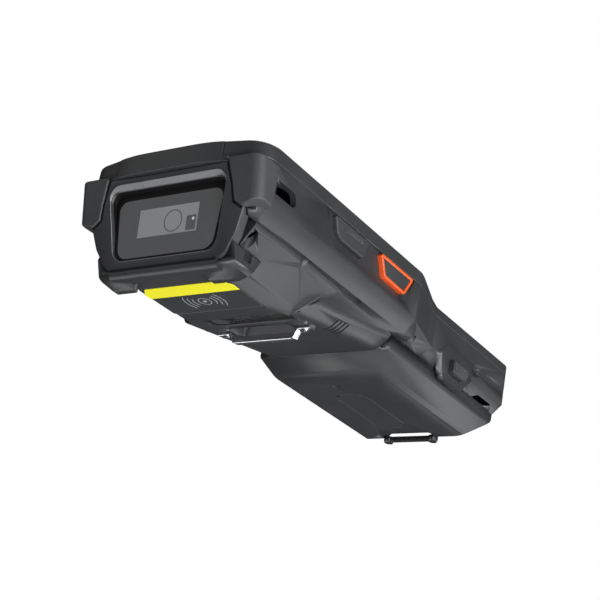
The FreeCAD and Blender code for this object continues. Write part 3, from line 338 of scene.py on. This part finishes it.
def along_rays(outline, centre, angles):
    """Where rays from centre meet a closed outline, by solving each edge's line against each ray."""
    start = outline - centre
    edge = np.roll(start, -1, axis=0) - start
    ray = np.stack([np.cos(angles), np.sin(angles)], 1)
    cross = ray[:, None, 0] * edge[None, :, 1] - ray[:, None, 1] * edge[None, :, 0]
    cross = np.where(np.abs(cross) < PARALLEL, PARALLEL, cross)
    reach = (start[None, :, 0] * edge[None, :, 1] - start[None, :, 1] * edge[None, :, 0]) / cross
    place = (start[None, :, 0] * ray[:, None, 1] - start[None, :, 1] * ray[:, None, 0]) / cross
    valid = (reach > 0) & (place >= -EDGE_SLACK) & (place <= 1 + EDGE_SLACK)
    distance = np.where(valid, reach, FAR_AWAY).min(1)
    return centre + ray * distance[:, None]


FACE_TOP_Y = 99.4
FACE_TOP_Z = 37.4
FACE_LEAN = math.tan(math.radians(13.5))
PANE_Y = 93.0
PANE_Z = 16.0
PANE_LEAN = math.tan(math.radians(6.6))
PANE_CLEAR = 0.12
WINDOW_MIDDLE = np.array([0.0, 20.6])
RAY_COUNT = 288
RAYS = np.linspace(0, 2 * np.pi, RAY_COUNT, endpoint=False)

# The frame's right half: x, z, corner radius, and how x and z move when the outline moves inwards by one.
FRAME_HALF = [
    (33.0, FACE_TOP_Z, 1.2, -1.0, -1.0), (34.0, 21.0, 4.0, -1.0, 0.0), (31.4, 13.4, 6.0, -1.0, 0.0),
    (26.2, 5.2, 6.0, -0.8, 1.0),
]
# Openings: half width at the top, half width at the foot, height of the top and of the foot, corner radius.
FACE_OPENING = (28.2, 24.3, 36.1, 6.9, 5.0)
BEVEL_OUTER = (26.9, 23.0, 35.3, 7.75, 4.4)
BEVEL_INNER = (26.3, 22.5, 33.5, 7.95, 3.8)
HIGHLIGHT_INNER = (26.35, 22.55, 33.55, 7.95, 3.8)
# The next opening is the inner edge of the band of painted highlight on the bevel.
WALL_OPENING = (26.0, 22.2, 33.2, 8.15, 3.5)
# The next four openings bound a near-black sheet of painted shade on the recess wall and the pane's rim.
SHADE_SHEET_OUTER = (25.9, 22.1, 33.1, 8.2, 3.4)
SHADE_SHEET_FOOT = (25.8, 22.0, 33.0, 8.3, 3.4)
SHADE_SHEET_LIP = (23.8, 21.3, 30.7, 8.75, 3.6)
SHADE_SHEET_INNER = (23.7, 21.2, 30.6, 8.8, 3.6)
PANE_OUTLINE = (25.7, 21.9, 32.9, 8.35, 3.4)
FOOT_RADIUS_MORE = 0.8


def mirrored(right):
    """A closed outline from its right half (x, z, radius), top first."""
    return rounded_outline(right + [(-x, z, radius) for x, z, radius in reversed(right)])


def frame_outline(inset):
    """The frame's outer outline, seen from the front, moved inwards by inset millimetres."""
    return mirrored([(x + dx * inset, z + dz * inset, radius) for x, z, radius, dx, dz in FRAME_HALF])


def opening(top, low, high_z, low_z, radius):
    """An opening's outline from its half widths at the top and foot, their heights and its corner radius."""
    return mirrored([(top, high_z, radius), (low, low_z, radius + FOOT_RADIUS_MORE)])


def face_y(z, depth):
    """Y of the frame's face at height z: the top's Y, less tan(lean) times the drop from it, less depth."""
    return FACE_TOP_Y - FACE_LEAN * (FACE_TOP_Z - z) - depth


def pane_y(z, depth):
    """Y of the pane's face at height z: its Y at PANE_Z, plus tan(lean) times the rise, less depth."""
    return PANE_Y + PANE_LEAN * (z - PANE_Z) - depth


def edge_y(z, depth):
    """The frame's face sunk by depth, but at least PANE_CLEAR in front of the pane's face."""
    return np.maximum(face_y(z, depth), pane_y(z, -PANE_CLEAR))


def skin_of_rings(name, rings):
    """Joins rings (outline, plane, depth) in order; every outline is read along the same rays."""
    loops = []
    for outline, plane, depth in rings:
        xz = along_rays(outline, WINDOW_MIDDLE, RAYS)
        loops.append(np.stack([xz[:, 0], plane(xz[:, 1], depth), xz[:, 1]], 1))
    faces = grid_faces(len(rings), len(RAYS))[:, ::-1]
    return mesh_object(name, np.concatenate(loops) * MM, faces)


def outwards(obj, angle=50):
    """Merges coincident points of a mesh, turns its faces outwards and keeps its edges crisp."""
    bm = bmesh.new()
    bm.from_mesh(obj.data)
    bmesh.ops.remove_doubles(bm, verts=bm.verts, dist=SAME_POINT)
    bmesh.ops.recalc_face_normals(bm, faces=bm.faces)
    bm.to_mesh(obj.data)
    bm.free()
    obj.data.set_sharp_from_angle(angle=math.radians(angle))
    return obj


window_frame = skin_of_rings("scan_bezel_frame", [
    (frame_outline(0.0), face_y, 4.0), (frame_outline(0.0), face_y, 0.45),
    (frame_outline(0.12), face_y, 0.13), (frame_outline(0.45), face_y, 0.02),
    (opening(*FACE_OPENING), face_y, 0.02), (opening(*BEVEL_OUTER), face_y, 0.08),
    (opening(*BEVEL_INNER), edge_y, 1.1), (opening(*WALL_OPENING), edge_y, 1.5),
    (opening(*WALL_OPENING), pane_y, 0.3),
])
window_frame.data.set_sharp_from_angle(angle=math.radians(30))
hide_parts("scan_bezel")
finish_piece(window_frame, "root", "moulded_shell", SHELL)

# A near-black sheet of painted shade covers the recess wall, whose ceiling lies in shadow, and the pane's
# rim.
shade_sheet_rings = [
    (opening(*SHADE_SHEET_OUTER), edge_y, 1.2), (opening(*SHADE_SHEET_FOOT), pane_y, -0.06),
    (opening(*SHADE_SHEET_LIP), pane_y, -0.06), (opening(*SHADE_SHEET_INNER), pane_y, 0.0),
    (opening(*SHADE_SHEET_INNER), pane_y, 0.3), (opening(*SHADE_SHEET_OUTER), pane_y, 0.3),
]
shade_sheet = outwards(skin_of_rings("window_shade_sheet", shade_sheet_rings + shade_sheet_rings[:1]), 30)
finish_piece(shade_sheet, "root", "black_rubber", PAINTED_SHADE)

# A thin grey band of painted highlight lies over the frame's bevel, where light catches it.
bevel_rings = [
    (opening(*BEVEL_OUTER), face_y, 0.05), (opening(*HIGHLIGHT_INNER), edge_y, 1.06),
    (opening(*HIGHLIGHT_INNER), edge_y, 1.2), (opening(*BEVEL_OUTER), face_y, 0.2),
]
bevel = outwards(skin_of_rings("window_bevel_highlight", bevel_rings + bevel_rings[:1]), 30)
finish_piece(bevel, "root", "moulded_shell", PAINTED_HIGHLIGHT)
print("window frame", len(window_frame.data.polygons), "quads, seal", len(shade_sheet.data.polygons))

# %% [markdown]
# A clear rectangle in the smoked pane shows the imager: a faint ring, a block and an aiming lamp. Marks like
# these are thin plates that lie just proud of what carries them. Each plate takes a place function, which
# turns its drawing (u, v) and a height into points in space.

# %% Optical area


def flat_plate(name, outline, place, thickness=0.02):
    """A thin plate: an outline (u, v) laid out by place(u, v, height), with a top face and side quads."""
    count = len(outline)
    top = place(outline[:, 0], outline[:, 1], np.full(count, thickness))
    low = place(outline[:, 0], outline[:, 1], np.zeros(count))
    sides = [(i, (i + 1) % count, (i + 1) % count + count, i + count) for i in range(count)]
    ends = [tuple(range(count, 2 * count)), tuple(range(count))[::-1]]
    return outwards(mesh_object(name, np.concatenate([low, top]) * MM, ends + sides, False))


def ring_plate(name, inner, outer, place, thickness=0.02):
    """A thin flat ring between two outlines that have the same number of points."""
    loops = [place(o[:, 0], o[:, 1], np.full(len(o), h))
             for o, h in ((outer, 0.0), (outer, thickness), (inner, thickness), (inner, 0.0), (outer, 0.0))]
    faces = grid_faces(5, len(inner))
    return outwards(mesh_object(name, np.concatenate(loops) * MM, faces, False))


def circle(x, y, radius, count=48):
    """Points of a circle as an (n, 2) array."""
    t = np.linspace(0, 2 * np.pi, count, endpoint=False)
    return np.stack([x + radius * np.cos(t), y + radius * np.sin(t)], 1)


def rectangle(x0, x1, y0, y1, radius):
    """A rounded rectangle's outline."""
    return rounded_outline([(x0, y0, radius), (x1, y0, radius), (x1, y1, radius), (x0, y1, radius)])


def pane_layer(lift):
    """The place function of a layer that starts lift above the pane's face and grows outwards."""
    def place(x, z, height):
        return np.stack([x, pane_y(z, -lift) + height, z], 1)
    return place


PANE_THICKNESS = 1.2
MARK_LIFT, BLOCK_LIFT, LENS_LIFT = 0.01, 0.025, 0.04
# Rectangles: x from and to, z from and to, and corner radius. Circles: x and z of the middle.
OPTICS = (-13.3, 13.3, 16.0, 26.4, 0.2)
LAMP_BLOCK = (-12.7, -8.4, 16.5, 21.9, 0.3)
IMAGER = (-2.4, 20.8)
IMAGER_RADII = (3.7, 4.1)
AIMING_LAMP = (-11.4, 20.6)
AIMING_LAMP_RADIUS = 0.55

pane = flat_plate("smoked_pane", opening(*PANE_OUTLINE), pane_layer(-PANE_THICKNESS), PANE_THICKNESS)
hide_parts("scan_window")
finish_piece(pane, "root", "smoked_window", WINDOW)
optics = flat_plate("optical_area", rectangle(*OPTICS), pane_layer(MARK_LIFT))
finish_piece(optics, "root", "smoked_window", CLEAR)
inner, outer = (circle(*IMAGER, radius) for radius in IMAGER_RADII)
lens_ring = ring_plate("imager_ring", inner, outer, pane_layer(LENS_LIFT))
finish_piece(lens_ring, "root", "coated_lens", SHADED)
lamp_spot = flat_plate("aiming_lamp", circle(*AIMING_LAMP, AIMING_LAMP_RADIUS, 24), pane_layer(LENS_LIFT))
finish_piece(lamp_spot, "root", "coated_lens", LEGEND)
lamp_block = flat_plate("aiming_lamp_block", rectangle(*LAMP_BLOCK), pane_layer(BLOCK_LIFT))
finish_piece(lamp_block, "root", "smoked_window", SHADED)
print("optical area made")

# %% [markdown]
# A channel runs round the inner side of each corner bumper, shown as a thin near-black strip of painted shade
# on the frame's face. The right one is drawn as (x, z) on that face, and the left one is the same drawing
# mirrored.

# %% Bumper channels
CHANNEL = np.array([(26.1, 37.2), (28.5, 28.9), (29.3, 23.0), (33.1, 20.5), (33.9, 20.7), (33.8, 21.6),
                    (33.4, 21.4), (30.2, 23.6), (29.4, 29.0), (27.0, 37.2)])


def on_face(x, z, height):
    """Points (x, z) at a height above the frame's leaning face."""
    return np.stack([x, face_y(z, -MARK_LIFT) + height, z], 1)


for name, side in SIDES.items():
    # Each strip is painted shade for the channel's groove, in the near-black shade colour.
    channel = flat_plate("bumper_channel_shade_" + name, CHANNEL * (side, 1), on_face)
    finish_piece(channel, "root", "black_rubber", PAINTED_SHADE)
print("bumper channels made")

# %% [markdown]
# The antenna cover carries a plain yellow strip and a printed mark of a dot, a ring and arcs. The release
# buttons have a grid of small pyramids that give a thumb its grip.

# %% Marks and ribs
COVER_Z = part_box("antenna_cover")[0].z / MM


def on_cover(x, y, height):
    """Points (x, y) at a height below the underside of the antenna cover."""
    return np.stack([x, y, COVER_Z - MARK_LIFT - height], 1)


def arc_outline(x, y, radius, width, first, last, count=24):
    """A band along an arc between two angles in degrees: its outer side, then its inner side backwards."""
    t = np.radians(np.linspace(first, last, count))
    out = np.stack([x + (radius + width / 2) * np.cos(t), y + (radius + width / 2) * np.sin(t)], 1)
    back = np.stack([x + (radius - width / 2) * np.cos(t), y + (radius - width / 2) * np.sin(t)], 1)
    return np.vstack([out, back[::-1]])


HALF_STRIP = [(17.0, 79.6), (20.0, 75.8), (20.0, 72.3)]
STRIP_THICKNESS = 0.18
strip_outline = np.array(HALF_STRIP + [(-x, y) for x, y in reversed(HALF_STRIP)])
yellow_strip = flat_plate("yellow_strip", strip_outline, on_cover, STRIP_THICKNESS)
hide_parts("label_strip")
finish_piece(yellow_strip, "root", SLOT_OF["label_strip"], YELLOW)

MARK_Y = 66.0
DOT_RADIUS = 0.8
RING_RADII = (2.3, 2.65)
WAVE_RADII = (4.6, 6.4, 8.2)
WAVE_WIDTH = 0.36
WAVE_HALF_ANGLE = 34
inner, outer = (circle(0, MARK_Y, radius) for radius in RING_RADII)
mark = ring_plate("antenna_mark_ring", inner, outer, on_cover)
finish_piece(mark, "root", "textured_black", PRINT)
spot = flat_plate("antenna_mark_dot", circle(0, MARK_Y, DOT_RADIUS, 24), on_cover)
finish_piece(spot, "root", "textured_black", PRINT)
for side_name, side in SIDES.items():
    middle = 90 - 90 * side
    for i, radius in enumerate(WAVE_RADII):
        band = arc_outline(0, MARK_Y, radius, WAVE_WIDTH, middle - WAVE_HALF_ANGLE, middle + WAVE_HALF_ANGLE)
        wave = flat_plate("antenna_wave_%d_%s" % (i + 1, side_name), band, on_cover)
        finish_piece(wave, "root", "textured_black", PRINT)


def pyramid_field(name, centres, along, across, outward, half, height):
    """Pyramids on a list of centres: each has a base square along two directions and a tip outward."""
    centres = np.asarray(centres, float)
    corners = [(-1, -1), (1, -1), (1, 1), (-1, 1)]
    along, across = np.asarray(along), np.asarray(across)
    base = np.stack([centres + half * (a * along + b * across) for a, b in corners], 1)
    tip = centres + height * np.asarray(outward)
    points = np.concatenate([base, tip[:, None, :]], 1).reshape(-1, 3)
    faces = [(5 * i + k, 5 * i + (k + 1) % 4, 5 * i + 4) for i in range(len(centres)) for k in range(4)]
    return mesh_object(name, points * MM, faces, smooth=False)


RIB_PITCH = 0.9
RIB_HALF = 0.42
RIB_HEIGHT = 0.32
RIB_X = 36.7
RIB_LOW_Z = 20.4
LOW_Y_MARGIN, HIGH_Y_MARGIN, HIGH_Z_MARGIN = 1.6, 0.8, 0.6
# The button's lower end is cut at a slope, so the rows start later where z is smaller.
CUT_SLOPE, CUT_Z, CUT_MARGIN = 0.5, 22.5, 1.4

for name, side in SIDES.items():
    low, high = (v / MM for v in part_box("release_button_" + name))
    ys = np.arange(low.y + LOW_Y_MARGIN, high.y - HIGH_Y_MARGIN, RIB_PITCH)
    zs = np.arange(RIB_LOW_Z, high.z - HIGH_Z_MARGIN, RIB_PITCH)
    grid = np.array([(side * RIB_X, y, z) for y in ys for z in zs
                     if y + CUT_SLOPE * (z - CUT_Z) > low.y + CUT_MARGIN])
    along = (0, 1, 0) if side > 0 else (0, 0, 1)
    across = (0, 0, 1) if side > 0 else (0, 1, 0)
    ribs = pyramid_field("release_ribs_" + name, grid, along, across, (side, 0, 0), RIB_HALF, RIB_HEIGHT)
    finish_piece(ribs, "release_button_" + name, "button_black", BUTTON)
print("marks and ribs made")

# %% [markdown]
# The strap loop is a bent strip: one rounded section is carried along a bent line and turns with it. It is
# made level and then leans back with the scoop that it is screwed to.

# %% Strap loop
SCOOP_LOW = (57.5, 2.8)
SCOOP_HIGH = (-8.2, 13.5)
SCOOP_SLOPE = math.atan((SCOOP_HIGH[1] - SCOOP_LOW[1]) / (SCOOP_LOW[0] - SCOOP_HIGH[0]))
STRAP_Y = 30.0
STRAP_Z = SCOOP_LOW[1] + (SCOOP_LOW[0] - STRAP_Y) * math.tan(SCOOP_SLOPE)
STRAP_WIDTH = 3.4
STRAP_THICKNESS = 1.1
STRAP_EDGE = 0.35
STRAP_BEND = 1.0


def bent_line(corners, radius, steps=10):
    """An open line through corners (x, z), with each inner corner replaced by an arc of radius."""
    spots = np.array(corners, float)
    arcs = [corner_arc(a, b, c, radius, steps) for a, b, c in zip(spots, spots[1:], spots[2:])]
    return np.vstack([spots[:1]] + arcs + [spots[-1:]])


def strip(name, line, width, thickness, radius, middle_y):
    """A strip along a line in the XZ plane. At each point its section lies across Y and the line's normal."""
    run = np.gradient(line, axis=0)
    run = run / np.linalg.norm(run, axis=1)[:, None]
    normal = np.stack([-run[:, 1], run[:, 0]], 1)
    section = rectangle(-width / 2, width / 2, -thickness / 2, thickness / 2, radius)
    x = line[:, None, 0] + normal[:, None, 0] * section[None, :, 1]
    z = line[:, None, 1] + normal[:, None, 1] * section[None, :, 1]
    y = np.broadcast_to(middle_y + section[None, :, 0], x.shape)
    points = np.stack([x, y, z], 2).reshape(-1, 3)
    count = len(section)
    faces = [tuple(f) for f in grid_faces(len(line), count)]
    faces += [tuple(range(count))[::-1], tuple(range((len(line) - 1) * count, len(line) * count))]
    return outwards(mesh_object(name, points * MM, faces), 40)


BAR_Z = STRAP_Z - 4.0
EAR_Z = STRAP_Z - 0.56
LOOP_Y = STRAP_Y - 0.5
LOOP_HALF = [(13.6, BAR_Z), (15.6, EAR_Z), (21.3, EAR_Z)]
loop_line = bent_line([(-x, z) for x, z in reversed(LOOP_HALF)] + LOOP_HALF, STRAP_BEND)
loop = strip("strap_loop", loop_line, STRAP_WIDTH, STRAP_THICKNESS, STRAP_EDGE, LOOP_Y)
pivot = Vector((0, STRAP_Y, STRAP_Z)) * MM
lean = Matrix.Translation(pivot) @ Matrix.Rotation(-SCOOP_SLOPE, 4, "X") @ Matrix.Translation(-pivot)
loop.data.transform(lean)
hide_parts("strap_bracket")
finish_piece(loop, "root", "bright_steel", CHROME)
print("strap loop made")

# %% [markdown]
# Generic legends on the keypad: the ten digits, and plain signs on the other keys. Each legend is set as
# text, turned into a mesh and laid on its key, whose place is read from the frame.

# %% Key legends
SIGN_SIZE = 5.2
SIGN_THICKNESS = 0.01
SIGN_LIFT = 0.012
KEY_SIGNS = ["<", "o", ">", "1", "2", "3", "4", "5", "6", "7", "8", "9", "*", "0", "#"]
for i, sign in enumerate(KEY_SIGNS):
    key = "key_%d_%d" % (i // 3 + 1, i % 3 + 1)
    low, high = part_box(key)
    text = bpy.data.curves.new("legend_" + key, "FONT")
    text.body = sign
    text.size = SIGN_SIZE * MM
    text.align_x = "CENTER"
    text.align_y = "CENTER"
    text.extrude = SIGN_THICKNESS * MM
    drawn = bpy.data.objects.new("legend_" + key, text)
    bpy.context.scene.collection.objects.link(drawn)
    flat = bpy.data.meshes.new_from_object(drawn.evaluated_get(bpy.context.evaluated_depsgraph_get()))
    bpy.data.objects.remove(drawn)
    middle = (low + high) / 2
    flat.transform(Matrix.Translation((middle.x, middle.y, high.z + SIGN_LIFT * MM)))
    obj = bpy.data.objects.new("legend_" + key, flat)
    bpy.context.scene.collection.objects.link(obj)
    finish_piece(obj, key, "keycap", LEGEND)
print("legends", len(KEY_SIGNS))

# %% [markdown]
# The camera stands where the photograph was taken: below the terminal, in front of its scan window.
# Its right, up and backward axes are the columns of its rotation. Its focal length is given in pixels of a
# photograph that is 600 pixels wide.

# %% Camera
CAMERA_PLACE = Vector((-319.24, 420.66, -186.28)) * MM
FOCAL_PIXELS = 1443.99
IMAGE_PIXELS = 600
SENSOR_MM = 36.0
FORWARD = Vector((0.5694, -0.7282, 0.3815)).normalized()
RIGHT = Vector((-0.8179, -0.5484, 0.1740))
RIGHT = (RIGHT - FORWARD * RIGHT.dot(FORWARD)).normalized()
data = bpy.data.cameras.new("photo_camera")
data.sensor_width = SENSOR_MM
data.lens = FOCAL_PIXELS / IMAGE_PIXELS * SENSOR_MM
data.clip_start = 0.01
camera = bpy.data.objects.new("photo_camera", data)
bpy.context.scene.collection.objects.link(camera)
up = RIGHT.cross(FORWARD)
turn = Matrix((RIGHT, up, -FORWARD)).transposed()
camera.matrix_world = Matrix.Translation(CAMERA_PLACE) @ turn.to_4x4()
bpy.context.scene.camera = camera
print("camera lens %.1f mm" % data.lens)

# %% [markdown]
# The studio: large softboxes, a pale floor and a white world. The photograph looks up from below the floor,
# so the floor shows only from above and lets light through. Each lamp stands where one group of faces
# mirrors it into the camera, and its strength follows the photograph's light and dark faces. Sizes of lamps
# and floor are in metres.

# %% Studio
MIDDLE = Vector((0, 0, 20)) * MM
WORLD_LEVEL = 0.03
LAMP_DISTANCE = 0.9
LAMP_SIZE = 0.6
LAMPS = [
    ("lamp_chamfer", (-0.38, -0.73, -0.57), 2.70),
    ("lamp_pod", (-0.67, -0.72, -0.11), 0.45),
    ("lamp_side", (-0.57, -0.73, 0.38), 0.08),
    ("lamp_under", (0.57, -0.73, -0.38), 0.07),
    ("lamp_front", (0.57, 0.73, 0.38), 0.62),
    ("lamp_bevel", (0.57, 0.53, -0.63), 0.60),
    ("lamp_chin", (0.57, 0.16, -0.81), 2.30),
    ("lamp_low", (-0.2, 0.0, -1.0), 1.00),
    ("lamp_camera", (-0.57, 0.55, -0.6), 4.40),
    ("lamp_left", (-0.95, 0.2, -0.2), 10.34),
]


def lamp(name, direction, distance, size, watt):
    """A square softbox at a distance from the terminal's middle in one direction, facing it."""
    light = bpy.data.lights.new(name, "AREA")
    light.shape = "SQUARE"
    light.size = size
    light.energy = watt
    obj = bpy.data.objects.new(name, light)
    aim = Vector(direction).normalized()
    obj.location = MIDDLE + aim * distance
    obj.rotation_euler = aim.to_track_quat("Z", "Y").to_euler()
    obj.visible_camera = False
    bpy.context.scene.collection.objects.link(obj)
    return obj


for name, direction, watt in LAMPS:
    lamp(name, direction, LAMP_DISTANCE, LAMP_SIZE, watt)
lamp("lamp_top", (0.1, -0.2, 1.0), distance=1.2, size=1.0, watt=5.0)

FLOOR_HALF = 3.0
floor_corners = [(FLOOR_HALF * x, FLOOR_HALF * y, 0) for x, y in ((-1, -1), (1, -1), (1, 1), (-1, 1))]
floor = mesh_object("floor", floor_corners, [(0, 1, 2, 3)], smooth=False)
pale = bpy.data.materials.new("pale_paper_floor")
pale.use_nodes = True
tree = pale.node_tree
tree.nodes.clear()
where = add(tree, "TexCoord").outputs["Object"]
fibre = add(tree, "TexNoise", {"Vector": where}, Scale=400.0, Detail=3.0).outputs["Fac"]
tint = ramp(tree, fibre, [(0.3, colour("#ececec")), (0.7, colour("#f4f4f4"))])
paper = add(tree, "BsdfPrincipled", {"Base Color": tint}, Roughness=0.8)
nothing = add(tree, "BsdfTransparent")
facing = add(tree, "NewGeometry").outputs["Backfacing"]
seen = add(tree, "LightPath").outputs["Is Camera Ray"]
upper = add(tree, "MixShader", {0: facing, 1: paper.outputs[0], 2: nothing.outputs[0]})
shown = add(tree, "MixShader", {0: seen, 1: nothing.outputs[0], 2: upper.outputs[0]})
add(tree, "OutputMaterial", {"Surface": shown.outputs[0]})
floor.data.materials.append(pale)

world = bpy.data.worlds.new("white_studio")
bpy.context.scene.world = world
world.use_nodes = True
tree = world.node_tree
tree.nodes.clear()
bright = add(tree, "Background", Color=(1, 1, 1, 1), Strength=1.0)
soft = add(tree, "Background", Color=(1, 1, 1, 1), Strength=WORLD_LEVEL)
seen = add(tree, "LightPath").outputs["Is Camera Ray"]
mixed = add(tree, "MixShader", {0: seen, 1: soft.outputs[0], 2: bright.outputs[0]})
add(tree, "OutputWorld", {"Surface": mixed.outputs[0]})
bpy.context.scene.view_settings.view_transform = "Standard"
print("studio", len(LAMPS) + 1, "lamps")
